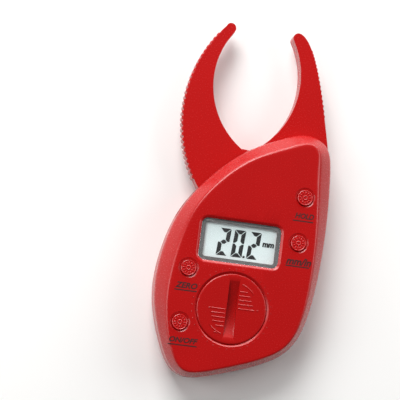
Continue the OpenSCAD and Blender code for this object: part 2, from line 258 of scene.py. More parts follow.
def lathe(profile, steps=96, centre=(0, 0)):
    """A profile of (radius, height) points spun round the Z axis and set at a centre."""
    bm = bmesh.new()
    chain = [bm.verts.new((r, 0, z)) for r, z in profile]
    edges = [bm.edges.new(pair) for pair in zip(chain, chain[1:])]
    bmesh.ops.spin(bm, geom=chain + edges, cent=(0, 0, 0), axis=(0, 0, 1), angle=math.tau,
                   steps=steps, use_merge=True)
    bmesh.ops.remove_doubles(bm, verts=bm.verts, dist=0.0001)
    bmesh.ops.recalc_face_normals(bm, faces=bm.faces)
    bmesh.ops.translate(bm, vec=(*centre, 0), verts=bm.verts)
    return bm


def rod(radius, low, high, centre=(0, 0), steps=48):
    """A plain rod."""
    return lathe([(0, low), (radius, low), (radius, high), (0, high)], steps, centre)


def ring_of(bm, count, centre):
    """bm repeated round a vertical axis through centre."""
    bmesh.ops.spin(bm, geom=bm.verts[:] + bm.edges[:] + bm.faces[:], cent=(*centre, 0), axis=(0, 0, 1),
                   angle=math.tau * (count - 1) / count, steps=count - 1, use_duplicate=True)
    return bm


def rounded(bm, offset, segments=3, edges=None, angle=35):
    """bm with its sharp edges, or the ones given, rounded."""
    if edges is None:
        edges = [e for e in bm.edges if len(e.link_faces) == 2 and e.calc_face_angle() > math.radians(angle)]
    bmesh.ops.bevel(bm, geom=edges, offset=offset, offset_type="OFFSET", segments=segments, profile=0.5,
                    affect="EDGES", clamp_overlap=True, material=-1)
    return bm


def arc(centre, radius, start, end, steps):
    """Points on an arc, angles in degrees."""
    angles = [math.radians(start + (end - start) * i / steps) for i in range(steps + 1)]
    return [(centre[0] + radius * math.cos(a), centre[1] + radius * math.sin(a)) for a in angles]


def rounded_rectangle(centre, width, height, radius, steps=8):
    """Points round a rectangle with rounded corners."""
    x, y = width / 2 - radius, height / 2 - radius
    points = []
    for cx, cy, start in ((x, y, 0), (-x, y, 90), (-x, -y, 180), (x, -y, 270)):
        points += arc((centre[0] + cx, centre[1] + cy), radius, start, start + 90, steps)
    return points


def rounded_slab(centre, width, height, corner, levels):
    """A rounded rectangle lofted through levels of (height, how far it is let out there)."""
    return loft([
        [(*p, z) for p in rounded_rectangle(centre, width + 2 * out, height + 2 * out, corner + out)]
        for z, out in levels
    ])


def piece(bm, name, body, material, replaces=None, sharp=32):
    """The finished object of bm: in metres, shaded, painted and riding on its body."""
    bmesh.ops.scale(bm, vec=(MM, MM, MM), verts=bm.verts)
    obj = holder(bm, name)
    obj.data.shade_smooth()
    obj.data.set_sharp_from_angle(angle=math.radians(sharp))
    even = obj.modifiers.new("Even Normals", "WEIGHTED_NORMAL")
    even.keep_sharp = True
    obj.data.materials.clear()
    obj.data.materials.append(material)
    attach(obj, body)
    if replaces:
        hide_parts(*replaces)
    return obj


# ---------------------------------------------------------------- materials


def add(tree, kind, values=None, links=None, **settings):
    """Adds a node with its settings, input values and links."""
    new = tree.nodes.new("ShaderNode" + kind)
    for name, value in settings.items():
        setattr(new, name, value)
    for name, value in (values or {}).items():
        new.inputs[name].default_value = value
    for name, socket in (links or {}).items():
        tree.links.new(socket, new.inputs[name])
    return new


def finish_of(name, pale, dark, patch, grain, height, gloss, **shader):
    """A material whose colour varies in patches and whose surface has a fine grain.

    patch and grain are the sizes of the two patterns in millimetres, height is the grain's depth in
    millimetres, gloss the lowest and highest roughness, and shader the values set on the shader."""
    if name in bpy.data.materials:
        return bpy.data.materials[name]
    material = bpy.data.materials.new(name)
    material.use_nodes = True
    tree = material.node_tree
    tree.nodes.clear()
    place = add(tree, "TexCoord").outputs["Object"]
    clouds = add(tree, "TexNoise", {"Scale": 1 / (patch * MM), "Detail": 3.0, "Roughness": 0.55},
                 {"Vector": place})
    tint = add(tree, "Mix", {6: dark, 7: pale}, {0: clouds.outputs["Fac"]}, data_type="RGBA")
    speck = add(tree, "TexNoise", {"Scale": 1 / (grain * MM), "Detail": 2.0, "Roughness": 0.6},
                {"Vector": place})
    matt = add(tree, "MapRange", {"From Min": 0.3, "From Max": 0.7, "To Min": gloss[0], "To Max": gloss[1]},
               {"Value": speck.outputs["Fac"]})
    relief = add(tree, "Bump", {"Strength": 1.0, "Distance": height * MM}, {"Height": speck.outputs["Fac"]})
    looks = {"Base Color": tint.outputs[2], "Roughness": matt.outputs["Result"],
             "Normal": relief.outputs["Normal"]}
    body = add(tree, "BsdfPrincipled", {k.replace("_", " "): v for k, v in shader.items()}, looks)
    add(tree, "OutputMaterial", links={"Surface": body.outputs["BSDF"]})
    return material


def shade(tone, factor):
    """A linear colour made lighter or darker."""
    return [min(1.0, c * factor) for c in tone[:3]] + [1.0]


def moulded_abs(name, red):
    """Injection-moulded ABS in one solid red: a soft gloss over a fine, barely seen grain.

    The real grain of about 0.1 mm is too fine to show, so it is drawn at 0.5 mm. ABS has an IOR of 1.53."""
    return finish_of(name, shade(red, 1.05), shade(red, 0.93), 14, 0.5, 0.0004, (0.25, 0.28), IOR=1.53)


def polished_acrylic():
    """Moulded acrylic window, clear and polished, so it shows what is under it with faint reflections."""
    return finish_of("clear_acrylic_polished", linear("#FFFFFF"), linear("#FBFDFD"),
                     20, 0.8, 0.0004, (0.02, 0.05), IOR=1.49, Transmission_Weight=1.0)


def part_finishes():
    """The finishes of the parts that keep their CAD shape, by the node's name."""
    # Cold-drawn steel of the screws: grey metal with a fine turned grain.
    screw = finish_of("zinc_plated_steel_turned", linear("#B9BCC0"), linear("#8D9096"),
                      3, 0.25, 0.004, (0.25, 0.45), Metallic=1.0)
    # Rolled spring steel of the washers: brighter and smoother.
    spring = finish_of("spring_steel_rolled", linear("#C9CBCD"), linear("#A5A8AB"),
                       5, 0.3, 0.003, (0.18, 0.35), Metallic=1.0)
    # Solder resist over glass-fibre board: dark green gloss over the weave.
    board = finish_of("glass_fibre_board_resist", linear("#0F4D2E"), linear("#0A3B24"),
                      4, 0.6, 0.01, (0.25, 0.4), IOR=1.55)
    # Etched copper under a thin gold flash.
    copper = finish_of("copper_pads_gold_flash", linear("#D9A356"), linear("#B5793A"),
                       2, 0.3, 0.003, (0.2, 0.4), Metallic=1.0)
    # Epoxy drop over the controller chip, cured to a black gloss.
    epoxy = finish_of("black_epoxy_cured", linear("#151517"), linear("#0C0C0E"),
                      3, 0.5, 0.004, (0.15, 0.3), IOR=1.55)
    # Drawn tin-plated can of the timing crystal.
    can = finish_of("tin_plated_can_drawn", linear("#C4C7C9"), linear("#9FA3A6"),
                    2, 0.3, 0.003, (0.2, 0.35), Metallic=1.0)
    # Moulded white polycarbonate frame round the display.
    white = finish_of("white_polycarbonate_moulded", linear("#E6E8E6"), linear("#D8DBD9"),
                      6, 0.5, 0.004, (0.35, 0.5), IOR=1.58)
    # Display glass under a matt polariser film: pale grey-green.
    glass = finish_of("display_glass_polariser", linear("#ADB8B8"), linear("#A7B1B1"),
                      18, 0.7, 0.001, (0.35, 0.45), IOR=1.5)
    # Brushed foil behind the display glass.
    foil = finish_of("reflector_foil_brushed", linear("#D9DCDD"), linear("#C3C7C9"),
                     4, 0.3, 0.003, (0.3, 0.5), Metallic=1.0)
    # Conductive silicone strip, pink and matt.
    rubber = finish_of("silicone_strip_moulded", linear("#D98C9A"), linear("#C06F80"),
                       2, 0.4, 0.01, (0.6, 0.8), IOR=1.41)
    # Grey ink screen-printed on the window's back.
    ink = finish_of("grey_ink_screen_print", linear("#4E4D4D"), linear("#464545"),
                    9, 0.5, 0.002, (0.4, 0.55), IOR=1.5)
    # Black nylon of the key switches, moulded and matt.
    nylon = finish_of("black_nylon_moulded", linear("#242427"), linear("#18181A"),
                      3, 0.4, 0.006, (0.4, 0.6), IOR=1.53)
    # Nickel-plated steel can of the coin cell, drawn and rubbed.
    cell = finish_of("nickel_plated_steel_drawn", linear("#CFCFCC"), linear("#A9A9A6"),
                     6, 0.4, 0.003, (0.22, 0.4), Metallic=1.0)
    # Stamped brass of the battery contacts.
    brass = finish_of("brass_stamped", linear("#D0A75A"), linear("#A87F3C"),
                      3, 0.3, 0.004, (0.25, 0.4), Metallic=1.0)
    return {
        "wave_washer": spring, "pivot_washer": spring, "pivot_screw": screw, "housing_screws": screw,
        "jaw_screws": screw, "board_screws": screw, "rotor_plate": copper, "stator_pads": copper,
        "circuit_board": board, "controller_chip": epoxy, "timing_crystal": can, "board_components": white,
        "lcd_frame": white, "lcd_panel": glass, "lcd_reflector": foil, "zebra_strips": rubber,
        "window_mask": ink, "key_switches": nylon, "coin_cell": cell,
        "battery_contact_positive": brass, "battery_contact_negative": brass,
    }


# ---------------------------------------------------------------- places and outlines

# Control nodes of the shells' outline, anticlockwise: X, Y and the width of the bevel there.
OUTLINE = (
    (31.5, -8, 4.5), (30.5, 9, 5.6), (29.5, 17.5, 5), (21, 22, 4.2), (10, 17, 4.2), (-2.5, 11, 3.4),
    (-17.5, -5.5, 3.2), (-23, -19, 4.6), (-26, -38, 4.6), (-22, -52, 2.4), (-17, -64, 2.2),
    (-10.5, -67.5, 2), (1, -64, 2), (17.5, -58.5, 2.2), (27, -50.5, 2.6), (30.5, -30, 3.2),
)
# In CAD the pips round the battery cover stand this far above the front shell's face, and its box ends
# at their tops.
PIP = 0.1
FACE = millimetres("front_housing")[2].z - PIP
JAW_BACK, JAW_FRONT = (millimetres("fixed_jaw")[i].z for i in (1, 2))
COVER = millimetres("battery_cover")[0].xy
WINDOW = millimetres("display_window")[0].xy
WINDOW_CORNER = 2.1
KEY_NODES = ("hold_button", "unit_button", "zero_button", "power_button")
KEYS = {name: millimetres(name)[0].xy for name in KEY_NODES}
SCREWS = ((18.5, -48.5), (-10, -57.5), (-16.8, -22.8))
SHARED_SCREW = (23.5, 10.5)
JAW_SCREWS = ((17.5, 3.5), (25, -2.5))
BOARD_SCREWS = ((25.5, -9.5), (-16.5, -14.5), (-17.2, -39))
# Radii of the pivot's post, and of the bosses round the screws in the rear and the front shell.
POST = 3.0
REAR_BOSS, FRONT_BOSS, BOARD_BOSS = 3.6, 2.8, 2.2
# How far a tool reaches past what it cuts.
PAST = 1


def inset_ring(height, share, inset):
    """The outline's nodes moved in by a share of the local bevel and a fixed distance, at one height."""
    ring = []
    for i, (x, y, bevel) in enumerate(OUTLINE):
        before, after = Vector(OUTLINE[i - 1][:2]), Vector(OUTLINE[(i + 1) % len(OUTLINE)][:2])
        along = (after - before).normalized()
        shift = share * bevel + inset
        ring.append((x - along.y * shift, y + along.x * shift, height))
    return ring


def shell(levels, crease):
    """A solid whose outline at each level is a smooth curve through the inset nodes."""
    return subdivided(loft([inset_ring(*level) for level in levels], crease))


def at_each(places, make):
    """One bmesh of what make gives at each place."""
    return joined(*(make(tuple(p)) for p in places))


def sweep_slot():
    """Room in the shells' walls for the moving jaw's travel."""
    gap, reach = 0.3, 60
    fan = [(0, 0)]
    for a in (68, 90, 120, 150, 180, 213):
        fan.append((reach * math.cos(math.radians(a)), reach * math.sin(math.radians(a))))
    return prism(fan, JAW_BACK - gap, JAW_FRONT + gap)


# Arcs of the jaws' edges: centre, radius, and where each starts and ends in degrees. The fixed jaw's
# outer edge is a Bezier curve instead, and its root is hidden between the shells.
MOVING_OUTER = ((24.6, 24.1), 47.24, 139.2, 224.4)
MOVING_INNER = ((14.8, 36.3), 28.35, 246, 144.3)
MOVING_TIP = ((-9.75, 54), 1.8, -36, 137)
FIXED_INNER = ((-13.4, 37.9), 30, -51.5, 30.4)
FIXED_TIP = ((14.05, 54), 1.8, 210, 70)
FIXED_OUTER = [Vector(p) for p in ((14.7, 55.7), (20.2, 53.9), (24.8, 35.5), (29.1, 15.6))]
FIXED_ROOT = [(28.3, 13), (28.3, -6), (10, -6)]


def fixed_edge(t):
    """A point on the fixed jaw's outer edge and the direction out of it."""
    a, b, c, d = FIXED_OUTER
    point = (1 - t) ** 3 * a + 3 * t * (1 - t) ** 2 * b + 3 * t * t * (1 - t) * c + t**3 * d
    along = (1 - t) ** 2 * (b - a) + 2 * t * (1 - t) * (c - b) + t * t * (d - c)
    return point, Vector((-along.y, along.x)).normalized()


def fixed_outline():
    """The fixed jaw's outline without its ribs."""
    outer = [tuple(fixed_edge(i / 40)[0]) for i in range(41)]
    return arc(*FIXED_INNER, 36) + arc(*FIXED_TIP, 14) + outer + FIXED_ROOT


def jaw_plate(outline, rounding):
    """A jaw's plate with rounded front and back edges."""
    bm = prism(outline, JAW_BACK, JAW_FRONT)
    rims = [e for e in bm.edges if abs(e.verts[0].co.z - e.verts[1].co.z) < 0.001]
    return rounded(bm, rounding, 3, rims)


# ---------------------------------------------------------------- the pieces


def rear_shell(s):
    """Back half: a tray with screw recesses in its flat back and the post of the pivot."""
    wall, seam, soft = s.wall / MM, s.seam / MM, s.seam_round / MM
    outside = shell([
        (0, 0, 4.5), (0, 0, 2.2), (0.45, 0, 1), (1.8, 0, 0.25), (3.4, 0, 0.05), (seam - 0.9, 0, 0),
        (seam - soft, 0, 0), (seam - 0.01, 0, soft),
    ], {7})
    room = shell([(wall, 0, wall + 0.8), (3.4, 0, wall + 0.05), (seam + 0.2, 0, wall)], {0, 1, 2})
    posts = joined(
        at_each(SCREWS, lambda p: rod(REAR_BOSS, 0.5, seam + PAST, p)),
        at_each((SHARED_SCREW, *JAW_SCREWS), lambda p: rod(REAR_BOSS, 0.5, JAW_BACK, p)),
        rod(6.5, 0.5, JAW_BACK - 0.6),
    )
    bm = combined(outside, combined(room, posts))
    bm = combined(bm, sweep_slot())
    recess = [(0, -PAST), (3.0, -PAST), (3.0, 0), (2.7, 0.3), (2.7, 2.2), (1.4, 2.2), (1.4, seam + PAST),
              (0, seam + PAST)]
    bm = combined(bm, at_each((SHARED_SCREW, *SCREWS), lambda p: lathe(recess, 48, p)))
    return combined(bm, rod(POST, wall - 0.5, JAW_FRONT + 0.4), "UNION")


def front_shell(s):
    """Front half: bevelled round its face, with the display's window, the key wells and the battery well."""
    wall, seam, shoulder, soft = s.wall / MM, s.seam / MM, s.shoulder / MM, s.seam_round / MM
    outside = shell([
        (seam + 0.01, 0, soft), (seam + soft, 0, 0), (seam + 0.9, 0, 0), (shoulder - 1.2, 0, 0.05),
        (shoulder, 0.06, 0.15), (shoulder + 1, 0.22, 0.2), (FACE - 0.5, 0.9, 0), (FACE - 0.01, 1.05, 0.1),
        (FACE, 1.2, 0.8), (FACE, 1.2, 3),
    ], {0})
    ceiling = FACE - wall
    room = shell([(seam - 0.2, 0, wall), (shoulder - 0.8, 0, wall), (ceiling, 0.8, wall)], {0, 1, 2})
    posts = joined(
        at_each(SCREWS, lambda p: rod(FRONT_BOSS, seam - PAST, FACE, p)),
        at_each(BOARD_SCREWS, lambda p: rod(BOARD_BOSS, 12, FACE, p)),
        rod(FRONT_BOSS, JAW_FRONT, FACE, SHARED_SCREW),
        rod(13.6, 8.8, FACE, COVER),
    )
    bm = combined(outside, combined(room, posts))
    bm = combined(bm, sweep_slot())
    well = [(0, 9.9), (10.3, 9.9), (10.3, 14.2), (11.9, 14.2), (11.9, 15.2), (10.75, 15.2), (10.75, 16.3),
            (11.9, 16.3), (11.9, FACE - 0.5), (12.0, FACE - 0.44), (12.56, FACE + 0.03),
            (12.56, FACE + PAST), (0, FACE + PAST)]
    bm = combined(bm, lathe(well, 128, COVER))
    _, low, high = millimetres("display_window")
    width, height = high.x - low.x + 0.1, high.y - low.y + 0.1
    lip = ((FACE - 1.2, 0), (FACE - 0.54, 0), (FACE - 0.5, 0.1), (FACE - 0.06, 0.62), (FACE + 0.02, 1.0),
           (FACE + PAST, 1.0))
    bm = combined(bm, rounded_slab(WINDOW, width, height, WINDOW_CORNER, lip))
    view = rounded_rectangle(WINDOW, width - 2.8, height - 2.1, 1)
    bm = combined(bm, prism(view, ceiling - PAST, FACE - 1))
    key = [(0, 15), (3.6, 15), (3.6, 16.2), (2.72, 16.2), (2.72, FACE - 0.36), (2.8, FACE - 0.27),
           (3.24, FACE - 0.2), (3.5, FACE + 0.02), (3.5, FACE + PAST), (0, FACE + PAST)]
    return combined(bm, at_each(KEYS.values(), lambda p: lathe(key, 64, p)))


def battery_pips():
    """Ring of small pips round the battery cover."""
    count, circle = 36, 13.3
    profile = [(0, FACE - 0.03), (0.19, FACE - 0.03), (0.17, FACE + 0.05), (0.09, FACE + 0.1),
               (0, FACE + 0.11)]
    return ring_of(lathe(profile, 12, (COVER.x + circle, COVER.y)), count, COVER)


def fixed_jaw(s):
    """Jaw held between the shells, ribbed on its outer edge."""
    bm = jaw_plate(fixed_outline(), s.edge_round / MM)
    count, radius = 16, 0.8
    # The fixed jaw's ribs are lower than the moving jaw's, and cover this stretch of its outer edge.
    height = s.rib_height / MM * 0.7
    first, stretch = 0.28, 0.52
    for i in range(count):
        point, out = fixed_edge(first + stretch * (i + 0.5) / count)
        bm = combined(bm, rib(point + out * (height - radius), radius), "UNION")
    hole = 1.4
    sunk = [(0, JAW_BACK - PAST), (hole, JAW_BACK - PAST), (hole, JAW_FRONT - 1.2), (2.5, JAW_FRONT + 0.05),
            (2.5, JAW_FRONT + PAST), (0, JAW_FRONT + PAST)]
    holes = joined(at_each(JAW_SCREWS, lambda p: lathe(sunk, 32, p)), rod(hole, 3, 12, SHARED_SCREW))
    bm = combined(bm, holes)
    hub_room = 13.5
    return combined(bm, rod(hub_room, JAW_BACK - PAST, JAW_FRONT + PAST, steps=96))


def rib(place, radius):
    """One rounded rib that runs through a jaw's thickness."""
    low, high, edge = JAW_BACK + 0.12, JAW_FRONT - 0.12, 0.3
    profile = [(0, low), (radius - edge, low), (radius, low + edge), (radius, high - edge),
               (radius - edge, high), (0, high)]
    return lathe(profile, 20, tuple(place))


def moving_jaw(s):
    """Jaw that turns on the post, with its hub between the shells."""
    pitch, height = s.rib_pitch / MM, s.rib_height / MM
    centre, reach, start, end = MOVING_OUTER
    base = reach - height / 2
    outer = arc(centre, reach - 0.1, start, start + 4, 3) + arc(centre, base, start + 5, end, 60)
    outline = outer + arc(*MOVING_INNER, 40) + arc(*MOVING_TIP, 14)
    bm = jaw_plate(outline, s.edge_round / MM)
    hub = rounded(rod(s.hub_radius / MM, JAW_BACK, JAW_FRONT, steps=96), 0.3, 2)
    bm = combined(bm, hub, "UNION")
    radius = pitch / 2
    first, last = start + 4.4, 213
    count = int(math.radians(last - first) * base / pitch)
    away = base + height - radius
    for i in range(count):
        a = math.radians(first) + pitch / base * (i + 0.5)
        place = (centre[0] + away * math.cos(a), centre[1] + away * math.sin(a))
        bm = combined(bm, rib(place, radius), "UNION")
    collar, bore = 4.6, POST + 0.05
    bm = combined(bm, rod(collar, JAW_BACK + 1, JAW_FRONT + 0.42), "UNION")
    return combined(bm, rod(bore, JAW_BACK - PAST, JAW_FRONT + PAST, steps=64))


def key_cap(s, place):
    """Round key with a rolled edge, a ring in the middle and petals round it."""
    r, top = s.radius / MM + 0.04, FACE + 0.4
    profile = [(0, 14.2), (1.2, 14.2), (1.2, 15.2), (3.4, 15.2), (3.4, 16), (r, 16), (r, top - 0.22),
               (r - 0.07, top - 0.08), (r - 0.22, top), (r - 0.35, top - 0.03), (r - 0.45, top - 0.12),
               (0, top - 0.12)]
    cap = lathe(profile, 64, place)
    ridge = [(0.45, top - 0.2), (0.5, top), (0.65, top + 0.1), (0.8, top + 0.02), (0.95, top - 0.2)]
    circle = lathe(ridge, 40, place)
    bmesh.ops.bridge_loops(circle, edges=[e for e in circle.edges if e.is_boundary])
    bmesh.ops.recalc_face_normals(circle, faces=circle.faces)
    petal = bmesh.new()
    bmesh.ops.create_uvsphere(petal, u_segments=12, v_segments=8, radius=1)
    bmesh.ops.scale(petal, vec=(0.5, 0.2, 0.26), verts=petal.verts)
    bmesh.ops.translate(petal, vec=(place[0] + s.petal_circle / MM, place[1], top - 0.14), verts=petal.verts)
    bm = combined(cap, circle, "UNION")
    return combined(bm, ring_of(petal, s.petals, place), "UNION")


def battery_cover(s):
    """Round cover with a plug, two tabs, a coin slot with a curved floor and raised lines."""
    top, low, foot = FACE - 0.1, FACE - 1.6, 14.35
    bm = lathe([(0, foot), (10.6, foot), (10.6, low), (11.8, low), (11.8, top - 0.42), (11.73, top - 0.26),
                (11.44, top - 0.03), (11.3, top), (10.8, top), (0, top)], 128, COVER)
    for turn in (0, 180):
        tab = arc(COVER, 11.6, turn - 15, turn + 15, 10) + arc(COVER, 9.5, turn + 15, turn - 15, 6)
        bm = combined(bm, prism(tab, foot, foot + 0.75), "UNION")
    width, half, depth = s.slot_width / MM, s.slot_length / MM / 2, s.slot_depth / MM
    sweep = (half**2 + depth**2) / (2 * depth)
    coin = lathe([(0, -width / 2), (sweep, -width / 2), (sweep, width / 2), (0, width / 2)], 128)
    bmesh.ops.rotate(coin, cent=(0, 0, 0), matrix=Matrix.Rotation(math.pi / 2, 3, "Y"), verts=coin.verts)
    bmesh.ops.translate(coin, vec=(COVER.x, COVER.y, top - depth + sweep), verts=coin.verts)
    bm = combined(bm, coin)
    pitch, bar = s.line_pitch / MM, 0.2
    marks = []
    for turn in (0, 180):
        spin = Matrix.Rotation(math.radians(turn), 3, "Z")
        for i, reach in enumerate((7.6, 6.9, 6.3, 5.8, 4.7)):
            y = 0.35 + pitch * i
            marks.append(raised_band([(2.05, y), (reach, y)], bar, top, spin))
        marks.append(raised_band(arc((0, 0), 8.85, 40, 73, 10), bar, top, spin))
        if turn:
            marks.append(raised_band([(3.1, 8.2), (5.0, 8.2)], bar, top, spin))
        else:
            marks.append(raised_band([(8.5, 0.45), (8.9, 0.45)], 0.25, top, spin))
    for mark in marks:
        bmesh.ops.translate(mark, vec=(COVER.x, COVER.y, 0), verts=mark.verts)
        bm = combined(bm, mark, "UNION")
    return bm


def raised_band(points, half, top, spin):
    """A low ridge along points, with sloping sides."""
    low, high = top - 0.15, top + 0.1
    line = [Vector(p) for p in points]

    def side(distance, height):
        ring = []
        for i, p in enumerate(line):
            along = (line[min(i + 1, len(line) - 1)] - line[max(i - 1, 0)]).normalized()
            ring.append((p + Vector((-along.y, along.x)) * distance).to_3d() + Vector((0, 0, height)))
        return ring

    widths = ((half * 1.4, low), (half * 1.1, top), (half * 0.5, high))
    bm = loft([side(d, z) + side(-d, z)[::-1] for d, z in widths])
    bmesh.ops.rotate(bm, cent=(0, 0, 0), matrix=spin, verts=bm.verts)
    return bm


def window_lens():
    """Clear window with a polished edge."""
    centre, low, high = millimetres("display_window")
    width, height = high.x - low.x, high.y - low.y
    levels = ((low.z + 0.03, 0.0), (high.z - 0.2, 0.0), (high.z - 0.06, -0.06), (high.z, -0.2))
    return rounded_slab(centre.xy, width, height, WINDOW_CORNER, levels)


# Segments of each digit: top, upper right, lower right, bottom, lower left, upper left, middle
SEGMENTS = {"0": "abcdef", "1": "bc", "2": "abged", "3": "abgcd", "4": "fgbc", "5": "afgcd", "6": "afgedc",
            "7": "abc", "8": "abcdefg", "9": "abcdfg"}
SEGMENT_THICK = 0.03
INK_THICK = 0.015
# Where the three digits start from the left of the number, and where the point lies.
DIGIT_STARTS = (0, 5.0, 10.3)
POINT, POINT_RADIUS = 9.45, 0.42


def digit(shape, left, foot, width, height, stroke, level):
    """One seven-segment digit as thin prisms with mitred ends."""
    w, h, t, gap = width, height, stroke, 0.14
    mid, half, tip = h / 2, t / 2, t / 2 + gap
    upper = [(0, h - gap), (t, h - t - gap), (t, mid + half + gap), (half, mid + gap), (0, mid + gap)]
    flat = [(gap, h), (w - gap, h), (w - t - gap, h - t), (t + gap, h - t)]
    shapes = {
        "a": flat,
        "d": [(x, h - y) for x, y in flat],
        "f": upper,
        "e": [(x, h - y) for x, y in upper],
        "b": [(w - x, y) for x, y in upper],
        "c": [(w - x, h - y) for x, y in upper],
        "g": [(tip, mid), (t + gap, mid + half), (w - t - gap, mid + half), (w - tip, mid),
              (w - t - gap, mid - half), (t + gap, mid - half)],
    }
    return joined(*(
        prism([(left + x, foot + y) for x, y in shapes[name]], level, level + SEGMENT_THICK)
        for name in SEGMENTS[shape]
    ))


def lettering(text, left, right, low, high, slant, weight, level, thick):
    """Lettering as a mesh, fitted between two X and two Y values."""
    curve = bpy.data.curves.new("lettering", "FONT")
    curve.body, curve.shear, curve.offset, curve.extrude = text, slant, weight, 0.5
    curve.resolution_u = 4
    obj = bpy.data.objects.new("lettering", curve)
    bpy.context.scene.collection.objects.link(obj)
    graph = bpy.context.evaluated_depsgraph_get()
    mesh = bpy.data.meshes.new_from_object(obj.evaluated_get(graph))
    bpy.data.curves.remove(curve)
    bm = bmesh.new()
    bm.from_mesh(mesh)
    bpy.data.meshes.remove(mesh)
    bmesh.ops.remove_doubles(bm, verts=bm.verts, dist=0.00001)
    lows = [min(v.co[i] for v in bm.verts) for i in range(3)]
    highs = [max(v.co[i] for v in bm.verts) for i in range(3)]
    sizes = (right - left, high - low, thick)
    scale = [size / (b - a) for size, a, b in zip(sizes, lows, highs)]
    bmesh.ops.translate(bm, vec=[-c for c in lows], verts=bm.verts)
    bmesh.ops.scale(bm, vec=scale, verts=bm.verts)
    bmesh.ops.translate(bm, vec=(left, low, level), verts=bm.verts)
    return bm


def reading(s):
    """The number and the unit on the display."""
    level = millimetres("lcd_panel")[2].z
    height, width, stroke = s.digit_height / MM, s.digit_width / MM, s.stroke / MM
    left, foot = WINDOW.x - 7.6, WINDOW.y - 4.85
    whole, _, tenth = s.reading.partition(".")
    parts = [
        digit(shape, left + start, foot, width, height, stroke, level)
        for shape, start in zip((whole + tenth)[-3:], DIGIT_STARTS)
    ]
    parts.append(rod(POINT_RADIUS, level, level + SEGMENT_THICK, (left + POINT, foot + POINT_RADIUS), 20))
    bm = joined(*parts)
    lean = math.tan(s.slant)
    for v in bm.verts:
        v.co.x += (v.co.y - foot) * lean
    unit = lettering("mm", WINDOW.x + 7.7, WINDOW.x + 11.75, foot + 4.6, foot + 6.15, 0.1, 0.06, level,
                     SEGMENT_THICK)
    return joined(bm, unit)


# Each legend's text, its left, right, low and high edges, and the start, end and height of its line.
LEGENDS = {
    "hold": ("HOLD", (18.7, 25.2, -9.05, -7.15), (18.1, 25.1, -9.85)),
    "unit": ("mm/in", (17.5, 26.1, -24.75, -22.2), (17.4, 25.5, -25.2)),
    "zero": ("ZERO", (-18.45, -11.0, -37.3, -35.3), (-18.6, -11.1, -37.95)),
    "power": ("ON/OFF", (-18.2, -8.6, -55.2, -53.4), (-18.5, -8.8, -55.95)),
}


def legend(name):
    """A printed legend with the line under it."""
    text, (left, right, low, high), (start, end, line) = LEGENDS[name]
    word = lettering(text, left, right, low, high, 0.25, 0.035, FACE, INK_THICK)
    under, over = line - 0.2, line + 0.2
    bar = prism([(start, under), (end, under), (end, over), (start, over)], FACE, FACE + INK_THICK)
    return joined(word, bar)


# ---------------------------------------------------------------- operators


class CALIPER_OT_shells(bpy.types.Operator):
    """Makes the two shells and the pips round the battery cover"""

    bl_idname = "caliper.shells"
    bl_label = "Shells"

    def execute(self, context):
        s = context.scene.caliper_shells
        red = moulded_abs("red_abs_shell_moulded", s.red)
        piece(rear_shell(s), "rear_shell", "housing", red, ("rear_housing",))
        piece(front_shell(s), "front_shell", "housing", red, ("front_housing",))
        piece(battery_pips(), "battery_pips", "housing", red, None)
        return {"FINISHED"}


class CALIPER_OT_jaws(bpy.types.Operator):
    """Makes the fixed jaw and the moving jaw"""

    bl_idname = "caliper.jaws"
    bl_label = "Jaws"

    def execute(self, context):
        s = context.scene.caliper_jaws
        red = moulded_abs("red_abs_jaw_moulded", s.red)
        piece(fixed_jaw(s), "fixed_jaw_moulding", "housing", red, ("fixed_jaw",))
        piece(moving_jaw(s), "moving_jaw_moulding", "moving_jaw", red, ("moving_jaw",))
        return {"FINISHED"}


class CALIPER_OT_keys(bpy.types.Operator):
    """Makes the four key caps"""

    bl_idname = "caliper.keys"
    bl_label = "Keys"

    def execute(self, context):
        s = context.scene.caliper_keys
        red = moulded_abs("red_abs_key_moulded", s.red)
        for node, place in KEYS.items():
            piece(key_cap(s, tuple(place)), node.replace("button", "key_cap"), node, red, (node,))
        return {"FINISHED"}


class CALIPER_OT_cover(bpy.types.Operator):
    """Makes the battery cover"""

    bl_idname = "caliper.cover"
    bl_label = "Battery Cover"

    def execute(self, context):
        s = context.scene.caliper_cover
        red = moulded_abs("red_abs_cover_moulded", s.red)
        piece(battery_cover(s), "battery_cover_disc", "battery_cover", red, ("battery_cover",))
        return {"FINISHED"}


class CALIPER_OT_display(bpy.types.Operator):
    """Makes the clear window, the number on the display and the printed legends"""

    bl_idname = "caliper.display"
    bl_label = "Display and Legends"

    def execute(self, context):
        s = context.scene.caliper_display
        clear = polished_acrylic()
        lens = piece(window_lens(), "window_lens", "housing", clear, ("display_window",))
        # The lamps shine straight through the window, as they do through a thin clear sheet.
        lens.visible_shadow = False
        # Liquid-crystal segments, switched on: near black under the polariser.
        black = finish_of("lcd_segments_switched_on", linear("#0C0C0D"), linear("#070708"),
                          4, 0.6, 0.001, (0.35, 0.5), IOR=1.5)
        piece(reading(s), "display_reading", "housing", black)
        # Pad-printed ink, matt and slightly uneven.
        ink = finish_of("dark_ink_pad_print", shade(s.ink, 1.15), shade(s.ink, 0.85),
                        1.5, 0.3, 0.002, (0.45, 0.6), IOR=1.5)
        for name in LEGENDS:
            piece(legend(name), "legend_" + name, "housing", ink)
        return {"FINISHED"}


class CALIPER_OT_finishes(bpy.types.Operator):
    """Gives the parts that keep their CAD shape their finishes"""

    bl_idname = "caliper.finishes"
    bl_label = "Part Finishes"

    def execute(self, context):
        for name, material in part_finishes().items():
            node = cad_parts[name]
            for slot in node.material_slots:
                slot.material = material
            if not node.material_slots:
                node.data.materials.append(material)
        return {"FINISHED"}


# Each high light's name, direction and height in degrees and share of the power, their side and how far
# off they stand, in metres.
HIGH_LIGHTS = (("far", 115, 42, 0.62), ("left", 185, 40, 0.2), ("right", 15, 38, 0.18))
HIGH_SIDE, HIGH_DISTANCE = 0.5, 0.9
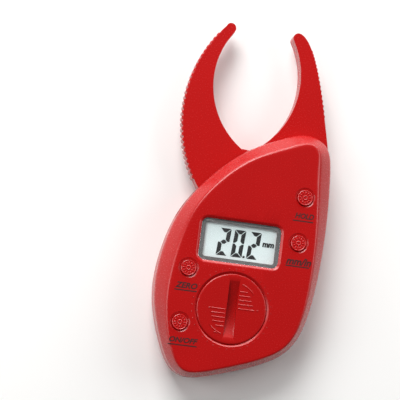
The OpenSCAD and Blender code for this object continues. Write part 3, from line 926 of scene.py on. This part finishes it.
# Each strip light's name, place, width and height in metres, and factor on the strip power.
STRIP_LIGHTS = (("far", (0.1, 0.7, 0.19), 1.3, 0.22, 1.3), ("left", (-0.7, 0.1, 0.17), 0.8, 0.28, 0.14))
WORLD_STRENGTH = 0.09
# What the camera looks at, in millimetres, and what the lights face, in metres.
CAMERA_AIM = (-12.6, -6.3, 7)
LIGHT_AIM = (0, -0.01, 0.01)


class CALIPER_OT_stage(bpy.types.Operator):
    """Sets up the floor, the soft lights and the camera"""

    bl_idname = "caliper.stage"
    bl_label = "Stage"

    def execute(self, context):
        s = context.scene.caliper_stage
        scene = context.scene
        scene.view_settings.view_transform = "Standard"
        floor = bmesh.new()
        bmesh.ops.create_grid(floor, x_segments=2, y_segments=2, size=1.5)
        floor = holder(floor, "floor")
        # Matt coated paper, near white.
        paper = finish_of("white_paper_matt", linear("#F7F6F4"), linear("#F2F1EF"),
                          300, 2, 0.002, (0.7, 0.8), IOR=1.45)
        floor.data.materials.append(paper)
        aim = Vector(CAMERA_AIM) * MM
        back = Vector((-math.tan(s.tilt_x), -math.tan(s.tilt_y), 1)).normalized()
        up = Vector((-math.sin(s.roll), math.cos(s.roll), 0))
        side = up.cross(back).normalized()
        turn = Matrix((side, back.cross(side), back)).transposed()
        data = bpy.data.cameras.new("camera")
        data.sensor_width = 36
        data.lens = data.sensor_width * s.distance / s.view_width
        camera = bpy.data.objects.new("camera", data)
        camera.matrix_world = Matrix.Translation(aim + back * s.distance) @ turn.to_4x4()
        scene.collection.objects.link(camera)
        scene.camera = camera
        for name, azimuth, rise, share in HIGH_LIGHTS:
            around, height = math.radians(azimuth), math.radians(rise)
            flat = math.cos(height)
            direction = Vector((flat * math.cos(around), flat * math.sin(around), math.sin(height)))
            place = direction * HIGH_DISTANCE
            soft_light("light_" + name, place, HIGH_SIDE, HIGH_SIDE, s.main_power * share)
        for name, place, width, height, factor in STRIP_LIGHTS:
            soft_light("strip_" + name, place, width, height, s.strip_power * factor)
        world = bpy.data.worlds.new("studio")
        world.use_nodes = True
        world.node_tree.nodes["Background"].inputs["Color"].default_value = linear("#E8ECEF")
        world.node_tree.nodes["Background"].inputs["Strength"].default_value = WORLD_STRENGTH
        scene.world = world
        return {"FINISHED"}


def soft_light(name, place, width, height, power):
    """A rectangular soft light that faces the caliper."""
    data = bpy.data.lights.new(name, "AREA")
    data.shape, data.size, data.size_y, data.energy = "RECTANGLE", width, height, power
    lamp = bpy.data.objects.new(name, data)
    lamp.location = place
    lamp.rotation_euler = (Vector(LIGHT_AIM) - Vector(place)).to_track_quat("-Z", "Y").to_euler()
    bpy.context.scene.collection.objects.link(lamp)


class CALIPER_PT_panel(bpy.types.Panel):
    """Lists the caliper's operators"""

    bl_idname = "CALIPER_PT_panel"
    bl_label = "Skinfold Caliper"
    bl_space_type = "VIEW_3D"
    bl_region_type = "UI"
    bl_category = "Caliper"

    def draw(self, context):
        for operator, settings in STEPS:
            self.layout.operator(operator.bl_idname)
            if settings:
                group = getattr(context.scene, settings)
                for name in group.__annotations__:
                    self.layout.prop(group, name)


GROUPS = {
    "caliper_shells": ShellSettings,
    "caliper_jaws": JawSettings,
    "caliper_keys": KeySettings,
    "caliper_cover": CoverSettings,
    "caliper_display": DisplaySettings,
    "caliper_stage": StageSettings,
}
STEPS = (
    (CALIPER_OT_shells, "caliper_shells"),
    (CALIPER_OT_jaws, "caliper_jaws"),
    (CALIPER_OT_keys, "caliper_keys"),
    (CALIPER_OT_cover, "caliper_cover"),
    (CALIPER_OT_display, "caliper_display"),
    (CALIPER_OT_finishes, None),
    (CALIPER_OT_stage, "caliper_stage"),
)
CLASSES = (*GROUPS.values(), *(operator for operator, _ in STEPS), CALIPER_PT_panel)


def register():
    for cls in CLASSES:
        bpy.utils.register_class(cls)
    for name, group in GROUPS.items():
        setattr(bpy.types.Scene, name, PointerProperty(type=group))


def unregister():
    for name in GROUPS:
        delattr(bpy.types.Scene, name)
    for cls in reversed(CLASSES):
        bpy.utils.unregister_class(cls)


def main():
    """Builds the caliper."""
    register()
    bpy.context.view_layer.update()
    for operator, _ in STEPS:
        getattr(bpy.ops.caliper, operator.bl_idname.split(".")[1])()


if __name__ == "__main__":
    main()
